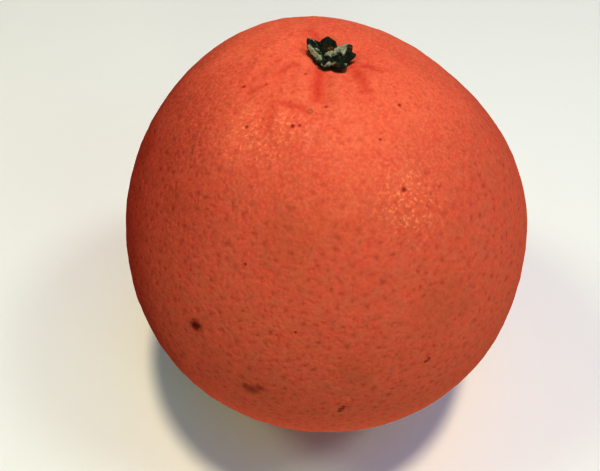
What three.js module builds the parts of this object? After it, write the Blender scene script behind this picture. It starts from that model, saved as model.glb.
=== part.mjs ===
// A whole orange, as picked. The fruit is one grown solid: a nearly round body that rests on its
// flattened blossom end, with a shallow hollow and radiating furrows at the stem end. The dried star of
// the calyx sits in the hollow, and the cut stub of the stalk stands in the middle of the calyx.
// Millimetres, +Z up along the stem axis, origin in the middle of the spot that the fruit rests on.
import * as THREE from "three";

// Driving dimensions of the fruit.
const EQUATOR_RADIUS = 37.6;
const POLAR_RADIUS = 37.3;
const REST_SPOT_RADIUS = 7.5;
const REST_EASE = 0.3;

// Driving dimensions of the stem end: where its middle lies, the hollow there, and the calyx's flat seat.
const STEM_END = new THREE.Vector3(-0.6, -0.5, 0);
const HOLLOW_RADIUS = 4.6;
const HOLLOW_DEPTH = 1.7;
const SEAT_RADIUS = 1.9;

// Driving dimensions of the calyx and the stalk.
const CALYX_DISC_RADIUS = 2.5;
const CALYX_THICKNESS = 0.9;
const STALK_RADIUS = 0.85;
const STALK_HEIGHT = 0.55;
const CLEARANCE = 0.3;

// Where the body swells or flattens against a true spheroid. Azimuth runs from +X towards +Y and polar
// down from the stem end, both in degrees; rise is outwards, and negative where the body is flattened.
const SWELLS = [
  { azimuth: 128, polar: 31, rise: 1.4 },
  { azimuth: 25, polar: 41, rise: -1.6 },
  { azimuth: -22, polar: 80, rise: -1.0 },
  { azimuth: -61, polar: 105, rise: 0.3 },
  { azimuth: -119, polar: 105, rise: 0.5 },
  { azimuth: -158, polar: 80, rise: -0.4 },
];
const SWELL_SPREAD = 30;

// The calyx's lobes. Angles are in degrees round the stem end from +X, and reach is the distance of the
// tip from its middle. Each lobe lies at the head of a furrow in the peel, which turns by bend degrees for
// each millimetre that it runs outwards, and has faded at its length from the middle.
const LOBES = [
  { angle: -102, reach: 4.5, spread: 38, lift: 0.0, furrow: { bend: 1.5, length: 12, depth: 0.75 } },
  { angle: -51, reach: 4.6, spread: 38, lift: 0.1, furrow: { bend: -2.5, length: 12, depth: 0.7 } },
  { angle: 25, reach: 3.9, spread: 42, lift: 0.8, furrow: { bend: 1.0, length: 9, depth: 0.5 } },
  { angle: 99, reach: 3.5, spread: 38, lift: 1.0, furrow: { bend: -1.5, length: 10, depth: 0.6 } },
  { angle: 147, reach: 4.2, spread: 38, lift: 0.9, furrow: { bend: 1.2, length: 9, depth: 0.5 } },
];
const FURROW_HALF_WIDTH = 0.95;

// The blossom end's scar, a small dimple in the middle of the rest spot.
const SCAR_RADIUS = 2.4;
const SCAR_DEPTH = 0.55;

// How finely the surfaces are divided.
const FRUIT_RINGS = 48;
const FRUIT_SEGMENTS = 64;
const RING_CROWDING = 0.09;
const CALYX_RINGS = 6;
const CALYX_SEGMENTS = 50;
const STALK_SEGMENTS = 20;

const radians = THREE.MathUtils.degToRad;

// The signed difference between two angles, from -PI to PI.
function angleBetween(a, b) {
  return Math.atan2(Math.sin(a - b), Math.cos(a - b));
}

// A bell that is 1 in the middle and has fallen to 1/e at the given spread.
function bell(distance, spread) {
  return Math.exp(-((distance / spread) ** 2));
}

function directionOf(azimuth, polar) {
  const across = Math.sin(radians(polar));
  return new THREE.Vector3(
    across * Math.cos(radians(azimuth)),
    across * Math.sin(radians(azimuth)),
    Math.cos(radians(polar)),
  );
}

const swells = SWELLS.map(({ azimuth, polar, rise }) => ({ towards: directionOf(azimuth, polar), rise }));

// The body's distance from its centre along a unit direction.
function bodyRadius(direction) {
  const across = Math.hypot(direction.x, direction.y) / EQUATOR_RADIUS;
  const along = direction.z / POLAR_RADIUS;
  const spheroid = 1 / Math.hypot(across, along);
  return swells.reduce(
    (radius, { towards, rise }) => radius + rise * bell(direction.angleTo(towards), radians(SWELL_SPREAD)),
    spheroid,
  );
}

// How far the furrow at a lobe's head cuts into the peel at a place near the stem end.
function furrowDepth({ angle, reach, furrow }, distance, azimuth) {
  const heading = radians(angle + furrow.bend * Math.max(0, distance - reach));
  const sideways = distance * angleBetween(azimuth, heading);
  const along = THREE.MathUtils.smoothstep(distance, 0.3 * reach, reach)
    * (1 - THREE.MathUtils.smoothstep(distance, reach, furrow.length));
  return furrow.depth * along * bell(sideways, FURROW_HALF_WIDTH);
}

// How far the stem end lies below the body's own curve.
function stemEndDepth(distance, azimuth) {
  const hollow = HOLLOW_DEPTH * bell(distance, HOLLOW_RADIUS);
  return LOBES.reduce((depth, lobe) => depth + furrowDepth(lobe, distance, azimuth), hollow);
}

// The height of the flattened underside: flat where the body's curve would come lower than the rest
// spot, and easing back into that curve outside it.
const restDrop = REST_SPOT_RADIUS ** 2 / (2 * EQUATOR_RADIUS);
function flattened(height) {
  const above = height - restDrop;
  return above > 0 ? above ** 2 / (above + REST_EASE) : 0;
}

function scarHeight(distance) {
  return distance < SCAR_RADIUS ? SCAR_DEPTH * (1 - (distance / SCAR_RADIUS) ** 2) ** 2 : 0;
}

const bottomRadius = bodyRadius(new THREE.Vector3(0, 0, -1));
const topRadius = bodyRadius(new THREE.Vector3(0, 0, 1));
const seatHeight = flattened(bottomRadius + topRadius) - HOLLOW_DEPTH;
const seatAngle = Math.asin(SEAT_RADIUS / topRadius);

// A point of the fruit's skin, from its direction in a ball whose upper pole is the stem end's middle.
function skinPoint(direction) {
  const lean = STEM_END.clone().multiplyScalar(Math.max(0, direction.z) ** 2 / topRadius);
  const leaning = direction.clone().add(lean).normalize();
  const point = leaning.clone().multiplyScalar(bodyRadius(leaning));
  const onSeat = direction.z > Math.cos(seatAngle) - 1e-6;
  point.z = flattened(point.z + bottomRadius);
  if (onSeat) {
    point.z = seatHeight;
  } else if (direction.z > 0) {
    const [x, y] = [point.x - STEM_END.x, point.y - STEM_END.y];
    point.z -= stemEndDepth(Math.hypot(x, y), Math.atan2(y, x));
  } else {
    point.z += scarHeight(Math.hypot(point.x, point.y));
  }
  return point;
}

// Moves every vertex of a geometry to where the given function puts it.
function reshape(geometry, move) {
  const position = geometry.getAttribute("position");
  const point = new THREE.Vector3();
  for (let i = 0; i < position.count; i++) {
    point.copy(move(point.fromBufferAttribute(position, i).clone()));
    position.setXYZ(i, point.x, point.y, point.z);
  }
  geometry.computeVertexNormals();
  return geometry;
}

// A body of revolution about +Z from a profile of [radius, height] pairs that runs from the axis, up
// the outside and back to the axis.
function turned(profile, segments) {
  const points = profile.map(([radius, height]) => new THREE.Vector2(radius, height));
  return new THREE.LatheGeometry(points, segments).rotateX(Math.PI / 2);
}

// The fruit: a ball whose rings crowd towards both ends, where the form is finest, drawn out to the skin.
// Its last ring is the edge of the seat.
function fruitGeometry() {
  const profile = [[0, -1]];
  for (let ring = 1; ring <= FRUIT_RINGS; ring++) {
    const share = ring / FRUIT_RINGS;
    const fromBottom = (Math.PI - seatAngle) * (share - RING_CROWDING * Math.sin(2 * Math.PI * share));
    profile.push([Math.sin(fromBottom), -Math.cos(fromBottom)]);
  }
  profile.push([0, 1]);
  return reshape(turned(profile, FRUIT_SEGMENTS), (point) => skinPoint(point.normalize()));
}

// The calyx's edge: the disc's rim, drawn out to a tip at each lobe.
function calyxEdge(azimuth) {
  return LOBES.reduce((edge, { angle, reach, spread }) => {
    const aside = Math.min(1, Math.abs(angleBetween(azimuth, radians(angle))) / radians(spread));
    return edge + (reach - CALYX_DISC_RADIUS) * (1 - aside) ** 1.3;
  }, CALYX_DISC_RADIUS);
}

// How far the calyx stands clear of the peel, from the disc out to the lifted tips.
function calyxLift(distance, azimuth) {
  return LOBES.reduce((lift, lobe) => {
    const near = bell(angleBetween(azimuth, radians(lobe.angle)), radians(lobe.spread) / 2);
    return lift + lobe.lift * near * THREE.MathUtils.smoothstep(distance, CALYX_DISC_RADIUS, lobe.reach);
  }, CLEARANCE);
}

// The calyx: a thin disc with a boss below it on the fruit's seat, drawn out into lobes that follow the
// peel. Its profile is a flat disc of unit radius, top and bottom, with the boss as its first ring.
function calyxGeometry(skinHeight) {
  const bossShare = 0.45;
  const rings = Array.from({ length: CALYX_RINGS }, (_, i) => bossShare + ((1 - bossShare) * (i + 1)) / CALYX_RINGS);
  const under = [[0, 0], [bossShare, 0], ...rings.map((share) => [share, 0])];
  const over = [...under].reverse().map(([share]) => [share, 1]);
  const stalkFlat = 1.4 * STALK_RADIUS;
  return reshape(turned([...under, ...over], CALYX_SEGMENTS), (point) => {
    const azimuth = Math.atan2(point.y, point.x);
    const share = Math.hypot(point.x, point.y);
    const top = point.z > 0.5;
    const inner = share <= bossShare + 1e-6;
    const rim = inner ? (top ? stalkFlat : 0.9 * SEAT_RADIUS) : calyxEdge(azimuth);
    const distance = inner ? (share / bossShare) * rim : share * rim;
    const x = STEM_END.x + distance * Math.cos(azimuth);
    const y = STEM_END.y + distance * Math.sin(azimuth);
    if (inner) return new THREE.Vector3(x, y, top ? seatHeight + CLEARANCE + CALYX_THICKNESS : seatHeight);
    const underside = skinHeight(x, y) + calyxLift(distance, azimuth);
    const thinning = 1 - 0.6 * (distance / rim) ** 4;
    return new THREE.Vector3(x, y, underside + (top ? CALYX_THICKNESS * thinning : 0));
  });
}

// The stalk's stub: a short round peg, a little wider at its foot, cut off with a slightly dished end.
function stalkGeometry() {
  const foot = 1.15 * STALK_RADIUS;
  const profile = [
    [0, 0],
    [foot, 0],
    [STALK_RADIUS, 0.45 * STALK_HEIGHT],
    [STALK_RADIUS, 0.85 * STALK_HEIGHT],
    [0.85 * STALK_RADIUS, STALK_HEIGHT],
    [0, 0.75 * STALK_HEIGHT],
  ];
  const foothold = seatHeight + CLEARANCE + CALYX_THICKNESS;
  return turned(profile, STALK_SEGMENTS).translate(STEM_END.x, STEM_END.y, foothold);
}

function piece(name, geometry, color, roughness) {
  const material = new THREE.MeshStandardMaterial({ color, roughness, metalness: 0 });
  const mesh = new THREE.Mesh(geometry, material);
  mesh.name = name;
  return mesh;
}

const fruit = piece("fruit", fruitGeometry(), 0xe2642f, 0.45);

// The height of the fruit's skin at a place near the stem end, found by looking straight down on it.
const lookDown = new THREE.Raycaster();
function skinHeight(x, y) {
  lookDown.set(new THREE.Vector3(x, y, 3 * POLAR_RADIUS), new THREE.Vector3(0, 0, -1));
  return lookDown.intersectObject(fruit)[0].point.z;
}

const calyx = piece("calyx", calyxGeometry(skinHeight), 0x2c3a1e, 0.7);
const stalk = piece("stem_stub", stalkGeometry(), 0x6b4a26, 0.8);

const orange = new THREE.Group();
orange.add(fruit, calyx, stalk);

export default orange;
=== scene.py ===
# A whole orange as picked, standing on its blossom end on a pale surface. Everything is in metres, and the
# frame gives the solids: the pieces made here are laid over them.
import math
import random

import bmesh
import bpy
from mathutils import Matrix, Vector, noise
from mathutils.bvhtree import BVHTree


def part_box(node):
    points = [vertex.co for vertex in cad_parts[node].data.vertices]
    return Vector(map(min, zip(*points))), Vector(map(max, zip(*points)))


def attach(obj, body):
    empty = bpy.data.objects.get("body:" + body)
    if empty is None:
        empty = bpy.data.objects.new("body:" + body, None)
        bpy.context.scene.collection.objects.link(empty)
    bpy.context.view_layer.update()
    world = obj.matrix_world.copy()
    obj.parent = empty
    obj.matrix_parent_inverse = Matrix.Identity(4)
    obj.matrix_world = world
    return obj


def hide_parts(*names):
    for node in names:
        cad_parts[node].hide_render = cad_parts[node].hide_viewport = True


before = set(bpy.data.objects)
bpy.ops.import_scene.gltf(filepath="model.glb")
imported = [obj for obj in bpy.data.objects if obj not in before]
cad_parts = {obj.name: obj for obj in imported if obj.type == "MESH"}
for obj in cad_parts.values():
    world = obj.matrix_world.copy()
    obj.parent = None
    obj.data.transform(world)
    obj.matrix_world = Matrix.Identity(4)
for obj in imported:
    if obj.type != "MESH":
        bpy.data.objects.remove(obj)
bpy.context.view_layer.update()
scene = bpy.context.scene
scene.view_settings.view_transform = "Standard"
# A gamma under 1 deepens the middle tones, so that colours stay strong in bright light.
scene.view_settings.gamma = 0.7

# ---- The camera --------------------------------------------------------------------------------------
# It looks down at the stem end's near side from less than three half-widths away, so the fruit's near
# side looms over its foot.

mm = 0.001
fruit_low, fruit_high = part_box("fruit")
middle = (fruit_low + fruit_high) / 2
half_width = (fruit_high.x - fruit_low.x) / 2


def direction(azimuth, elevation):
    """The unit vector at so many degrees round from +X and up from level."""
    turn, rise = math.radians(azimuth), math.radians(elevation)
    return Vector((math.cos(rise) * math.cos(turn), math.cos(rise) * math.sin(turn), math.sin(rise)))


camera_side = direction(-90, 48)
camera_distance = 2.72 * half_width
look_at = middle + Vector((-4.6, -1.4, -1.7)) * mm

camera = bpy.data.objects.new("camera", bpy.data.cameras.new("camera"))
scene.collection.objects.link(camera)
scene.camera = camera
camera.data.sensor_width = 36
camera.data.lens = 30.95
camera.data.clip_start = 5 * mm
camera.location = middle + camera_distance * camera_side
camera.rotation_euler = (look_at - camera.location).to_track_quat("-Z", "Y").to_euler()

# ---- The light and the surface -----------------------------------------------------------------------
# A soft lamp hangs almost straight above. A weaker one on each side throws a faint shadow across the pale
# surface, which is plain and matt. A cool window, a blue ceiling and a wall on the near side fill in.


def lamp(name, towards, distance, width, power, colour):
    """A round soft lamp, so many metres wide and so many watts, that shines on the fruit from one side."""
    light = bpy.data.lights.new(name, "AREA")
    light.shape = "DISK"
    light.size = width
    light.energy = power
    light.color = colour
    holder = bpy.data.objects.new(name, light)
    scene.collection.objects.link(holder)
    holder.location = middle + distance * towards
    holder.rotation_euler = towards.to_track_quat("Z", "Y").to_euler()


lamp("overhead_lamp", direction(38, 84.5), 2.2, 0.25, 34.0, (1.0, 0.86, 0.58))
lamp("left_lamp", direction(182, 53), 0.75, 0.20, 1.60, (0.72, 0.86, 0.50))
lamp("right_lamp", direction(0, 54), 0.6, 0.13, 0.9, (0.74, 0.9, 0.76))
lamp("window", direction(-40, 26), 1.6, 0.9, 4.1, (0.48, 1.0, 0.92))
lamp("ceiling", direction(10, 78), 1.1, 1.3, 4.8, (0.25, 0.25, 1.0))
lamp("near_wall", direction(-78, 6), 1.0, 0.2, 3.0, (0.88, 1.0, 0.65))

room_colour = (0.55, 0.72, 1.0, 1)
room_strength = 0.08
world = bpy.data.worlds.new("room")
scene.world = world
world.use_nodes = True
background = world.node_tree.nodes["Background"]
background.inputs["Color"].default_value = room_colour
background.inputs["Strength"].default_value = room_strength


class Shade:
    """A number that changes over a finish: a socket whose sums add Math nodes."""

    def __init__(self, finish, socket):
        self.finish = finish
        self.socket = socket

    def maths(self, operation, *numbers):
        return self.finish.node("Math", {"operation": operation}, dict(enumerate(numbers)))

    def __add__(self, other):
        return self.maths("ADD", self, other)

    __radd__ = __add__

    def __sub__(self, other):
        return self.maths("SUBTRACT", self, other)

    def __rsub__(self, other):
        return self.maths("SUBTRACT", other, self)

    def __mul__(self, other):
        return self.maths("MULTIPLY", self, other)

    __rmul__ = __mul__


class Finish:
    """A material under construction, with one method for any node and a few for the common ones."""

    def __init__(self, name, **shader_values):
        self.material = bpy.data.materials.new(name)
        self.material.use_nodes = True
        self.tree = self.material.node_tree
        self.shader = self.tree.nodes["Principled BSDF"]
        for socket, value in shader_values.items():
            self.shader.inputs[socket.replace("_", " ")].default_value = value

    def feed(self, socket, given):
        if isinstance(given, Shade):
            self.tree.links.new(given.socket, socket)
        elif isinstance(given, (tuple, Vector)) and len(given) == 3 and socket.type == "RGBA":
            socket.default_value = (*given, 1)
        else:
            socket.default_value = given

    def node(self, kind, settings, given, output=0):
        """Any node, from its type, its settings, what its sockets are given, and the output to use."""
        node = self.tree.nodes.new("ShaderNode" + kind)
        for setting, choice in settings.items():
            setattr(node, setting, choice)
        for socket, value in given.items():
            self.feed(node.inputs[socket], value)
        return Shade(self, node.outputs[output])

    def place(self):
        """Where a point of the piece is, in millimetres."""
        metres = self.node("TexCoord", {}, {}, "Object")
        return self.node("VectorMath", {"operation": "SCALE"}, {0: metres, "Scale": 1 / mm})

    def painted(self, name):
        """What a named attribute of the mesh says."""
        return self.node("Attribute", {"attribute_name": name}, {}, "Fac")

    def along(self, place, axis):
        """How far a place lies along an axis: 0 is X, 1 is Y and 2 is Z."""
        return self.node("SeparateXYZ", {}, {"Vector": place}, axis)

    def grain(self, place, scale, detail, output=0):
        """Noise with so many waves to a millimetre. Output 1 is three noises, as a vector."""
        return self.node("TexNoise", {}, {"Vector": place, "Scale": scale, "Detail": detail}, output)

    def cloud(self, place, scale, detail=2, low=0.3, high=0.7):
        """Noise stretched to run smoothly from 0 to 1."""
        return self.step(self.grain(place, scale, detail), low, high)

    def wander(self, place, scale, reach):
        """The place moved up to half the reach one way or another, so that a round mark turns ragged."""
        noisy = self.grain(place, scale, 3, 1)
        centre, spread = Vector((0.5, 0.5, 0.5)), Vector((reach, reach, reach))
        centred = self.node("VectorMath", {"operation": "SUBTRACT"}, {0: noisy, 1: centre})
        return self.node("VectorMath", {"operation": "MULTIPLY_ADD"}, {0: centred, 1: spread, 2: place})

    def step(self, value, low, high):
        """0 below low, 1 above high and smooth between."""
        given = {"Value": value, "From Min": low, "From Max": high, "To Min": 0, "To Max": 1}
        return self.node("MapRange", {"interpolation_type": "SMOOTHSTEP"}, given)

    def mix(self, factor, first, second):
        """The first colour where the factor is 0, and the second where it is 1."""
        return self.node("Mix", {"data_type": "RGBA"}, {0: factor, 6: first, 7: second}, 2)

    def set(self, **sockets):
        """Feed what changes over the piece to the shader."""
        for socket, given in sockets.items():
            self.feed(self.shader.inputs[socket.replace("_", " ")], given)


surface_half_width = 3
surface_grey = (0.8, 0.8, 0.8)

surface_finish = Finish("pale_surface", Roughness=0.55, Specular_IOR_Level=0.3)
surface_finish.set(Base_Color=surface_grey)
surface_mesh = bmesh.new()
bmesh.ops.create_grid(surface_mesh, x_segments=1, y_segments=1, size=surface_half_width)
surface = bpy.data.objects.new("surface", bpy.data.meshes.new("surface"))
surface_mesh.to_mesh(surface.data)
surface_mesh.free()
surface.data.materials.append(surface_finish.material)
scene.collection.objects.link(surface)

# ---- The peel ----------------------------------------------------------------------------------------
# The peel and all inside it grew as one piece. It is a closed skin over the solid fruit, pricked all over
# by the pits of its oil glands: about one in four is deep and dark, and the skin stands proud between them.

pit_count = 24000
pit_spacing = 0.92 * mm
deep_pit = 0.14 * mm
shallow_from, deep_from = 4 * mm, 9 * mm
broad_width, broad_rise = 9 * mm, 0.12 * mm
cobble_width, cobble_rise = 2.4 * mm, 0.07 * mm
crinkle_width, crinkle_rise = 2.6 * mm, 0.36 * mm
crinkle_middle, crinkle_reach = Vector((-3, -1)) * mm, 14 * mm
stem_end_foot = middle.z + 0.8 * half_width


def merged(node):
    """A copy of a CAD node's mesh with its triangles joined up."""
    copy = bmesh.new()
    copy.from_mesh(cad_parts[node].data)
    bmesh.ops.remove_doubles(copy, verts=copy.verts, dist=0.001 * mm)
    return copy


def smoothed_tree(node, levels):
    """The smooth surface that a CAD node's facets stand for, to be met by rays."""
    copy = merged(node)
    mesh = bpy.data.meshes.new(node + "_smooth")
    copy.to_mesh(mesh)
    copy.free()
    holder = bpy.data.objects.new(node + "_smooth", mesh)
    scene.collection.objects.link(holder)
    smoother = holder.modifiers.new("smooth", "SUBSURF")
    smoother.levels = smoother.render_levels = levels
    tree = BVHTree.FromObject(holder, bpy.context.evaluated_depsgraph_get())
    bpy.data.objects.remove(holder)
    bpy.data.meshes.remove(mesh)
    return tree


skin = smoothed_tree("fruit", 2)

# The creases and folds that the peel has beside the stem end's own furrows: points to run through, width,
# and depth, which is negative for a fold that stands up. All in millimetres.
creases = [
    ([(-11.3, -7.4), (-9.6, -6.7)], 0.45, 0.14),
    ([(-6.8, -10.1), (-3.8, -11.0)], 0.6, 0.12),
    ([(-7.9, -10.1), (-8.2, -12.3), (-7.5, -14.6)], 0.5, 0.07),
    ([(-6.9, -10.6), (-7.2, -12.5), (-6.6, -14.2)], 0.4, -0.16),
    ([(0.6, -5.2), (0.9, -7.4), (1.3, -9.6)], 1.6, -0.25),
    ([(-5.4, -2.6), (-7.6, -4.6)], 0.6, 0.14),
    ([(-5.6, 0.4), (-8.4, 0.9)], 0.6, 0.14),
    ([(4.0, -1.2), (6.2, -2.4)], 0.6, 0.14),
    ([(3.6, 3.2), (5.4, 5.4)], 0.6, 0.12),
    ([(-2.6, 4.4), (-3.9, 6.8)], 0.6, 0.12),
]


def distance_to_line(point, route):
    """How far a point is from a line that runs through the given points, all in the X-Y plane."""
    nearest = 1e9
    for start, end in zip(route, route[1:]):
        start, end = Vector(start), Vector(end)
        along = end - start
        share = min(1, max(0, (point - start).dot(along) / along.length_squared))
        nearest = min(nearest, (point - start - share * along).length)
    return nearest


def nearness(point, route, width):
    """1 on a line, and less away from it, so that little is left at twice the width."""
    return math.exp(-((distance_to_line(point, route) / width) ** 2))


def crease_depth(point):
    """How far the creases push in a point of the stem end."""
    flat = point.to_2d() / mm
    return sum(depth * nearness(flat, route, width) for route, width, depth in creases) * mm


# Painted shade: the peel is a deeper red down the furrows under the calyx and along the creases, where shade
# falls in them. These are points to run through, half-width and strength.
crease_shade_strokes = [
    ([(-1.9, -3.2), (-2.0, -6.0), (-1.9, -9.5)], 0.7, 0.8),
    ([(2.9, -1.8), (4.0, -4.6), (4.6, -7.2)], 0.8, 0.6),
    ([(-6.8, -10.1), (-3.8, -11.0)], 0.5, 0.7),
    ([(-11.3, -7.4), (-9.6, -6.7)], 0.5, 0.5),
    ([(-7.9, -10.1), (-8.2, -12.3), (-7.5, -14.6)], 0.6, 0.4),
    ([(-5.4, -2.6), (-7.6, -4.6)], 0.7, 0.5),
    ([(4.0, -1.2), (6.2, -2.4)], 0.7, 0.5),
    ([(-2.6, 4.4), (-3.9, 6.8)], 0.7, 0.5),
]


def crease_shade_strength(point):
    """How strongly the painted shade of the furrows and creases darkens a point of the stem end, from 0 to 1.
    """
    flat = point.to_2d() / mm
    return max(strength * nearness(flat, route, width) for route, width, strength in crease_shade_strokes)


def swell(point):
    """The gentle unevenness of the whole peel, and its crinkles near the stem end."""
    broad = noise.noise(point / broad_width) * broad_rise
    cobbles = noise.noise(point / cobble_width + Vector((7, 3, 1))) * cobble_rise
    away = (point.to_2d() - crinkle_middle).length / crinkle_reach
    crinkly = math.exp(-(away**2)) if point.z > middle.z else 0
    crinkles = (noise.turbulence(point / crinkle_width, 2, False) - 0.4) * crinkle_rise * crinkly
    return broad + cobbles + crinkles


def pit_share(place):
    """How much of its depth a pit keeps: a quarter beside the calyx, and all of it further out."""
    from_stem = (place - Vector((0, 0, fruit_high.z))).length
    return min(1, max(0.25, (from_stem - shallow_from) / (deep_from - shallow_from)))


# The pits start as points along a spiral round a ball, each shaken out of line, and a hull joins them up.
dice = random.Random(5)
peel = bmesh.new()
pitting = peel.verts.layers.float.new("pit")
crease_shading = peel.verts.layers.float.new("painted_crease_shade")
golden_angle = math.pi * (3 - math.sqrt(5))
jitter = 0.36 * pit_spacing / half_width
for count in range(pit_count):
    height = 1 - 2 * (count + 0.5) / pit_count
    across = math.sqrt(1 - height * height)
    turn = golden_angle * count
    spot = Vector((across * math.cos(turn), across * math.sin(turn), height))
    spot += Vector(dice.uniform(-jitter, jitter) for _ in range(3))
    peel.verts.new(spot.normalized())
bmesh.ops.convex_hull(peel, input=peel.verts)

# Each corner of the hull becomes a pit, and a deep one takes no other deep one for its neighbour. The edges
# are then halved, so that the skin between two pits stands proud of them.
pits = list(peel.verts)
dice.shuffle(pits)
for pit in pits:
    alone = all(edge.other_vert(pit)[pitting] < 0.5 for edge in pit.link_edges)
    pit[pitting] = dice.uniform(0.6, 1.0) if alone else dice.uniform(0.05, 0.55)
bmesh.ops.subdivide_edges(peel, edges=peel.edges, cuts=1, use_grid_fill=True)
peel.verts.index_update()
for vert in peel.verts:
    if vert.index >= pit_count:
        ends = [edge.other_vert(vert) for edge in vert.link_edges]
        vert[pitting] = 0.45 * max(end[pitting] for end in ends if end.index < pit_count)
    place, normal, _, _ = skin.ray_cast(middle, vert.co.normalized())
    depth = deep_pit * vert[pitting] * pit_share(place) - swell(place)
    if place.z > stem_end_foot:
        depth += crease_depth(place)
        # Painted shade in the furrows and creases.
        vert[crease_shading] = crease_shade_strength(place)
    vert.co = place - depth * normal
    vert.co.z = max(vert.co.z, 0)
bmesh.ops.recalc_face_normals(peel, faces=peel.faces)


def finished_piece(name, shape, finish, node):
    """A mesh made into the piece that stands for a CAD node."""
    for face in shape.faces:
        face.smooth = True
    mesh = bpy.data.meshes.new(name)
    shape.to_mesh(mesh)
    shape.free()
    mesh.materials.append(finish.material)
    piece = bpy.data.objects.new(name, mesh)
    scene.collection.objects.link(piece)
    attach(piece, "root")
    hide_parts(node)


peel_finish = Finish("orange_peel", Specular_IOR_Level=0, Coat_Roughness=0.28, Coat_IOR=1.4)
where = peel_finish.place()


def on_skin(azimuth, from_top):
    """The place on the skin in a direction from the middle, in millimetres."""
    place, _, _, _ = skin.ray_cast(middle, direction(azimuth, 90 - from_top))
    return place / mm


def marks(place, spots, core):
    """1 over the core of each spot and 0 outside it. A spot is azimuth, angle from the top and radius."""
    cover = 0
    for azimuth, from_top, radius in spots:
        apart = {0: place, 1: on_skin(azimuth, from_top)}
        away = peel_finish.node("VectorMath", {"operation": "DISTANCE"}, apart, 1)
        spot = 1 - peel_finish.step(away, core * radius, radius)
        cover = spot.maths("MAXIMUM", spot, cover)
    return cover


# Small dark specks, the darker and larger scars, soft brown bruises, places with painted highlights and dull
# patches, then a dead spot of which only the rim shows, and the scar that the blossom left. The radii are in
# millimetres.
specks = [
    (-63.3, 36.8, 0.54), (-93, 16.8, 0.42), (-42.5, 20.1, 0.42), (-130.6, 27, 0.45), (-109.1, 22.9, 0.45),
    (-105.8, 22.3, 0.35), (-144.6, 17.2, 0.40), (-153.8, 21.3, 0.45), (-114.3, 18, 0.40), (-117, 18.4, 0.26),
    (-65.2, 25.6, 0.32), (-109.6, 52.5, 0.32), (47, 8, 0.40), (-127.5, 9.3, 0.32), (-95.1, 64.4, 0.28),
    (60, 40, 0.45), (112, 55, 0.40), (150, 75, 0.50), (20, 95, 0.45), (-20, 60, 0.35), (85, 110, 0.50),
]
scars = [
    (-119.8, 71.9, 1.20), (-118.9, 71.5, 0.90), (-84.2, 88.4, 0.60), (-83.9, 87.4, 0.66), (-83.6, 86.4, 0.56),
    (-65.4, 75.7, 0.40), (-64.9, 75.5, 0.44), (-64.3, 75.2, 0.40),
    (130, 88, 0.96), (74, 70, 0.64),
]
bruises = [(-104.4, 84.2, 1.8), (-105.8, 83.9, 1.2), (-102.6, 82.8, 1.2), (-119.4, 71.7, 1.9)]
painted_glint_places = [(-130, 27.6, 6), (-113, 23, 5), (-116, 28, 4), (-63.4, 39.5, 8)]
dull = [(-81.5, 75, 6.0), (-97, 45, 8.0), (-104, 82, 5.0), (-60, 62, 7.0), (35, 75, 7.0), (170, 60, 8.0)]

dead_spot = (-102.8, 18.5)
blossom_scar = [(0, 175, 2.4)]

orange, light_orange = (0.79, 0.156, 0.116), (0.80, 0.184, 0.124)
back_orange, middle_shade_orange = (0.55, 0.150, 0.105), (0.45, 0.083, 0.070)
yellow_orange, left_shade_red = (0.69, 0.225, 0.112), (0.37, 0.050, 0.030)
mottle_orange, fleck_and_glint_orange = (0.70, 0.108, 0.072), (0.92, 0.270, 0.140)
painted_glint_yellow, dimple_orange = (0.98, 0.420, 0.200), (0.66, 0.092, 0.062)
pit_and_shade_brown, crease_shade_red = (0.22, 0.015, 0.009), (0.56, 0.034, 0.024)
drab_brown, speck_brown = (0.46, 0.125, 0.056), (0.22, 0.008, 0.006)
rim_brown, blossom_brown = (0.22, 0.12, 0.05), (0.16, 0.075, 0.030)
bruise_brown, scar_brown = (0.20, 0.022, 0.012), (0.09, 0.008, 0.004)

# Where each change of colour lies. The left side is darkened towards a deep red as painted shade, a band
# round the middle is darker as painted shade, and all of the peel is yellowed, most of all at its foot.
sideways, backward, upward = (peel_finish.along(where, axis) for axis in range(3))
blotches = peel_finish.cloud(where, 0.07, 3, 0.35, 0.65)
mottle = peel_finish.cloud(where, 0.45, 4)
# Pale flecks all over, and more on the top, where they are painted highlights.
flecks_and_glints = peel_finish.cloud(where, 2.4, 2, 0.4, 0.65)
# Painted shade: the left side is darkened towards a deep red.
painted_left_shade = 1 - peel_finish.step(sideways + 5 * blotches, -33, -9)
behind = peel_finish.step(backward, 0, 18)
# Painted shade: a band round the middle is darker, where the light from above falls off.
painted_middle_shade = peel_finish.step(upward, 18, 38) * (1 - peel_finish.step(upward + 4 * blotches, 63, 76))
foot = 1 - peel_finish.step(upward, 3, 26)
high = peel_finish.step(upward, 60, 71)
yellowed = foot.maths("MAXIMUM", 0.7 * foot, 0.5)
# Painted highlights: pale yellow streaks over a few places near the top, where the lamps would glint. The
# coat is also glossier there.
painted_glint_streaks = peel_finish.cloud(where, 1.9, 2, 0.5, 0.7)
painted_glint_spots = marks(peel_finish.wander(where, 0.5, 4), painted_glint_places, 0) * painted_glint_streaks
pores = peel_finish.node("TexVoronoi", {}, {"Vector": where, "Scale": 1.15})
dimple = 1 - peel_finish.step(pores, 0.05, 0.55)
faintness = 0.5 + 0.5 * peel_finish.cloud(where, 0.8, 1, 0.35, 0.65)
# The pits are darker, partly as their own colour and partly as painted shade: darker on the shaded left side,
# fainter on the lit top.
pit_and_shade_tone = (0.54 - 0.33 * high + 0.3 * painted_left_shade) * (1 - 0.5 * yellowed) * faintness
pit_and_shade_cover = peel_finish.step(peel_finish.painted("pit"), 0.1, 1.0) * pit_and_shade_tone
ragged = peel_finish.wander(where, 1.6, 0.9)
rim = marks(where, [(*dead_spot, 0.6)], 0.6) - marks(where, [(*dead_spot, 0.4)], 0.4)

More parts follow.
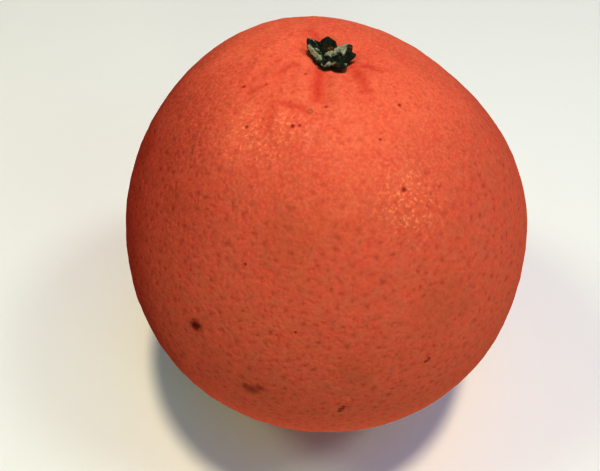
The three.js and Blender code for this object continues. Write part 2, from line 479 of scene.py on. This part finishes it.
# Each layer of colour lies over the ones before it.
colour = peel_finish.mix(blotches, orange, light_orange)
for cover, tint in (
    (0.7 * behind, back_orange),
    # Painted shade round the middle.
    (0.9 * painted_middle_shade, middle_shade_orange),
    (0.9 * yellowed, yellow_orange),
    # Painted shade on the left side.
    (painted_left_shade, left_shade_red),
    (0.35 * mottle * (1 - 0.7 * painted_left_shade), mottle_orange),
    # Pale flecks, partly painted highlights on the top.
    ((0.12 + 0.22 * high) * flecks_and_glints, fleck_and_glint_orange),
    # Painted highlights.
    (0.55 * painted_glint_spots, painted_glint_yellow),
    (0.35 * dimple * (1 - 0.8 * painted_left_shade), dimple_orange),
    # Dark pits, partly painted shade.
    (pit_and_shade_cover, pit_and_shade_brown),
    # Painted shade in the furrows and creases.
    (0.75 * peel_finish.painted("painted_crease_shade"), crease_shade_red),
    (0.38 * marks(peel_finish.wander(where, 0.35, 9), dull, 0), drab_brown),
    (0.85 * marks(where, specks, 0.1), speck_brown),
    (0.55 * rim, rim_brown),
    (0.75 * marks(peel_finish.wander(where, 1.2, 1.5), blossom_scar, 0.3), blossom_brown),
    (0.65 * marks(ragged, bruises, 0), bruise_brown),
    (0.85 * marks(ragged, scars, 0), scar_brown),
):
    colour = peel_finish.mix(cover, colour, tint)

relief = 0.4 * peel_finish.grain(where, 1.3, 1.5) + 0.2 * peel_finish.grain(where, 4.0, 2) - 0.22 * dimple
bump = peel_finish.node("Bump", {}, {"Strength": 1.0, "Distance": 0.26 * mm, "Height": relief})
rough = 0.22 + 0.2 * peel_finish.cloud(where, 0.7)
waxy = 0.07 * high + 0.3 * painted_glint_spots
peel_finish.set(Base_Color=colour, Roughness=rough, Coat_Weight=waxy, Normal=bump)
finished_piece("peel", peel, peel_finish, "fruit")

# ---- The calyx ---------------------------------------------------------------------------------------
# What is left of the flower's cup, dried to a dark crumpled star. The back lobes and the right one curl up,
# the front two run down into furrows, and pale cracked ridges cross it. Here all sizes are in millimetres.

stem_end = Vector((-0.6, -0.5))
calyx_rim = 2.3
calyx_rings, calyx_steps = 26, 200
front_side, front_trim = Vector((0.34, -0.94)), 0.5
gap, dish = 0.12, 0.25
curl_start, curl_run = 1.6, 2.4
rim_thickness, heart_thickness = 0.25, 0.85
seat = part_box("calyx")[0].z / mm
lowest = seat + 0.02

# A lobe's angle, the reach of its tip, half its width as an angle, and how far its tip curls up. The right
# lobe is broad and torn, so it has two entries.
lobes = [
    (-109, 2.95, 28, 0.1),
    (-40, 3.6, 34, 0.1),
    (4, 3.8, 42, 0.5),
    (33, 3.8, 28, 1.1),
    (97, 3.9, 32, 1.2),
    (143, 4.3, 34, 1.0),
]

# The pale ridges: points to run through, half-width, height and how pale. Then the clefts cut between them,
# which have a depth and a strength in the same places.
ridges = [
    ([(-4.0, 0.7), (-2.7, -0.4), (-1.75, -1.4)], 0.42, 0.45, 1.0),
    ([(-0.9, -0.7), (0.4, 0.2), (1.8, 1.5)], 0.45, 0.7, 1.3),
    ([(0.9, -0.2), (2.1, 1.1)], 0.32, 0.4, 1.1),
    ([(-3.6, 1.9), (-2.6, 1.6), (-1.9, 0.8)], 0.22, 0.2, 0.5),
    ([(-2.6, 0.5), (-1.6, 0.1)], 0.22, 0.2, 0.7),
    ([(-1.5, -2.5), (-0.4, -2.3), (0.4, -2.0)], 0.26, 0.25, 0.8),
    ([(1.7, -2.3), (2.4, -1.8)], 0.2, 0.15, 0.9),
]
clefts = [
    ([(-2.6, 2.2), (-1.8, 0.7), (-1.5, 0.0)], 0.35, 0.5, 1),
    ([(-1.5, -1.2), (-1.3, -2.3)], 0.3, 0.4, 1),
    ([(-0.2, -0.9), (1.1, -0.2)], 0.25, 0.35, 1),
    ([(0.0, -1.6), (1.4, -1.5)], 0.45, 0.4, 1),
    ([(1.8, -1.0), (2.1, 1.2)], 0.35, 0.4, 1),
]


def strongest(point, strokes):
    """How strongly the nearest stroke marks a point, from 0 up, and its height there."""
    best = (0, 0)
    for route, width, height, strength in strokes:
        cover = nearness(point, route, width)
        best = max(best, (cover * strength, cover * height))
    return best


def angle_between(first, second):
    """The angle between two directions, in degrees."""
    return abs((first - second + 180) % 360 - 180)


def lobe_at(azimuth):
    """How far a lobe reaches past the rim at an angle, and how far its tip curls up there."""
    tip, curl = 0, 0
    for angle, reach, width, lift in lobes:
        near = max(0, 1 - angle_between(azimuth, angle) / width) ** 0.6
        tip = max(tip, (reach - calyx_rim) * near)
        curl = max(curl, lift * near)
    return tip, curl


def crumple(point):
    """How far the dried cup is crumpled up or down at a place."""
    folds = noise.noise(Vector((point.x, point.y, 0)) * 1.1) * 0.3
    wrinkles = noise.noise(Vector((point.x, point.y, 4)) * 2.7) * 0.24
    return folds + wrinkles


def skin_height(point):
    """How high the solid fruit's smooth skin is at a place near the stem end."""
    place, _, _, _ = skin.ray_cast(Vector((point.x * mm, point.y * mm, 1)), Vector((0, 0, -1)))
    return place.z / mm


# A thin flat disc is spun, with its lower side at -1, its rim at 0 and its upper side at 1, and then drawn
# out to the lobes, laid on the skin and crumpled.
calyx = bmesh.new()
paleness = calyx.verts.layers.float.new("pale")
shares = [ring / calyx_rings for ring in range(calyx_rings)]
outline = [(share, -1) for share in shares] + [(1, 0)] + [(share, 1) for share in reversed(shares)]
side = [calyx.verts.new((share, 0, level)) for share, level in outline]
edges = [calyx.edges.new(pair) for pair in zip(side, side[1:])]
full_turn = {"cent": (0, 0, 0), "axis": (0, 0, 1), "angle": math.tau, "use_merge": True}
bmesh.ops.spin(calyx, geom=side + edges, steps=calyx_steps, **full_turn)
bmesh.ops.remove_doubles(calyx, verts=calyx.verts, dist=1e-5)
for vert in calyx.verts:
    share, level = math.hypot(vert.co.x, vert.co.y), vert.co.z
    azimuth = math.atan2(vert.co.y, vert.co.x)
    outward = Vector((math.cos(azimuth), math.sin(azimuth)))
    tip, curl = lobe_at(math.degrees(azimuth))
    front = max(0, outward.dot(front_side))
    torn = 0.3 * noise.noise(outward.to_3d() * 3.5)
    edge = calyx_rim + tip - front_trim * front + torn
    curl *= max(0, share * edge - curl_start) / curl_run
    flat = stem_end + share * edge * outward
    height = skin_height(flat) + gap + dish * share**2 + curl if share > 0.3 else lowest
    thickness = rim_thickness + heart_thickness * (1 - share**3)
    marked, raised = strongest(flat, ridges)
    cut, sunk = strongest(flat, clefts)
    if level > 0:
        over = raised - sunk + crumple(flat) * min(1, 3 * share)
        height += thickness + over * (1 - share**6)
        vert[paleness] = marked * (1 - cut)
    elif level == 0:
        height += 0.5 * thickness
    vert.co = Vector((flat.x, flat.y, max(height, lowest))) * mm
bmesh.ops.recalc_face_normals(calyx, faces=calyx.faces)

dark_green, dull_green = (0.0010, 0.003, 0.0015), (0.007, 0.030, 0.014)
dry_brown, crumb_green = (0.060, 0.026, 0.014), (0.034, 0.048, 0.026)
flake_green, flake_buff = (0.28, 0.38, 0.24), (0.55, 0.46, 0.36)

calyx_finish = Finish("dried_calyx", Specular_IOR_Level=0.14)
where = calyx_finish.place()
crumbs = calyx_finish.cloud(where, 3.2, 3, 0.35, 0.65)
flaked = calyx_finish.step(calyx_finish.painted("pale") + 0.4 * crumbs, 0.35, 0.95)
flakes = calyx_finish.mix(calyx_finish.cloud(where, 1.6), flake_green, flake_buff)
colour = calyx_finish.mix(calyx_finish.cloud(where, 0.9, 3), dark_green, dull_green)
colour = calyx_finish.mix(0.8 * calyx_finish.cloud(where, 1.2, 2, 0.5, 0.58), colour, dry_brown)
colour = calyx_finish.mix(0.5 * crumbs, colour, crumb_green)
colour = calyx_finish.mix(0.9 * flaked, colour, flakes)
bump = calyx_finish.node("Bump", {}, {"Strength": 0.6, "Distance": 0.2 * mm, "Height": crumbs})
calyx_finish.set(Base_Color=colour, Roughness=0.38 + 0.3 * crumbs, Normal=bump)
finished_piece("calyx_star", calyx, calyx_finish, "calyx")

# ---- The stalk ---------------------------------------------------------------------------------------
# The stub where the fruit was snapped from its stalk: a low brown peg that leans back, with a torn and
# dished end.

stub_foot = Vector((-0.5, -0.05, seat + 1.05))
stub_radius = 0.6
stub_height = 0.75
stub_lean = Vector((0.1, 0.4, 1))
stub_steps = 48
torn_dark = (0.016, 0.014, 0.010)
fibre_dark, fibre_light = (0.05, 0.026, 0.006), (0.20, 0.095, 0.016)

# The outline from the middle of the foot, round the side, to the dished middle of the end.
profile = [(0, 0), (1.2, 0), (1.05, 0.2), (1, 0.5), (1, 0.8), (0.93, 0.95), (0.8, 1)]
profile += [(0.55, 0.9), (0.3, 0.8), (0, 0.75)]
stub = bmesh.new()
side = [stub.verts.new((radius, 0, height)) for radius, height in profile]
edges = [stub.edges.new(pair) for pair in zip(side, side[1:])]
bmesh.ops.spin(stub, geom=side + edges, steps=stub_steps, **full_turn)
bmesh.ops.remove_doubles(stub, verts=stub.verts, dist=1e-5)
for vert in stub.verts:
    torn = noise.noise(vert.co * 2.1) * 0.25
    wobble = 1 + 0.18 * noise.noise(vert.co * 1.7 + Vector((3, 1, 2)))
    height = vert.co.z * (stub_height + torn)
    spread = Vector((vert.co.x, vert.co.y, 0)) * stub_radius * wobble
    vert.co = (stub_foot + spread + stub_lean * height) * mm
bmesh.ops.recalc_face_normals(stub, faces=stub.faces)

stub_finish = Finish("snapped_stalk", Specular_IOR_Level=0.3)
where = stub_finish.place()
fibres = stub_finish.cloud(where, 4.0, 3)
bark = stub_finish.mix(fibres, fibre_dark, fibre_light)
end = stub_finish.step(stub_finish.along(where, 2), stub_foot.z + 0.45, stub_foot.z + 0.65)
colour = stub_finish.mix(end, torn_dark, bark)
bump = stub_finish.node("Bump", {}, {"Strength": 0.6, "Distance": 0.1 * mm, "Height": fibres})
stub_finish.set(Base_Color=colour, Roughness=0.6 + 0.2 * fibres, Normal=bump)
finished_piece("stalk_stub", stub, stub_finish, "stem_stub")
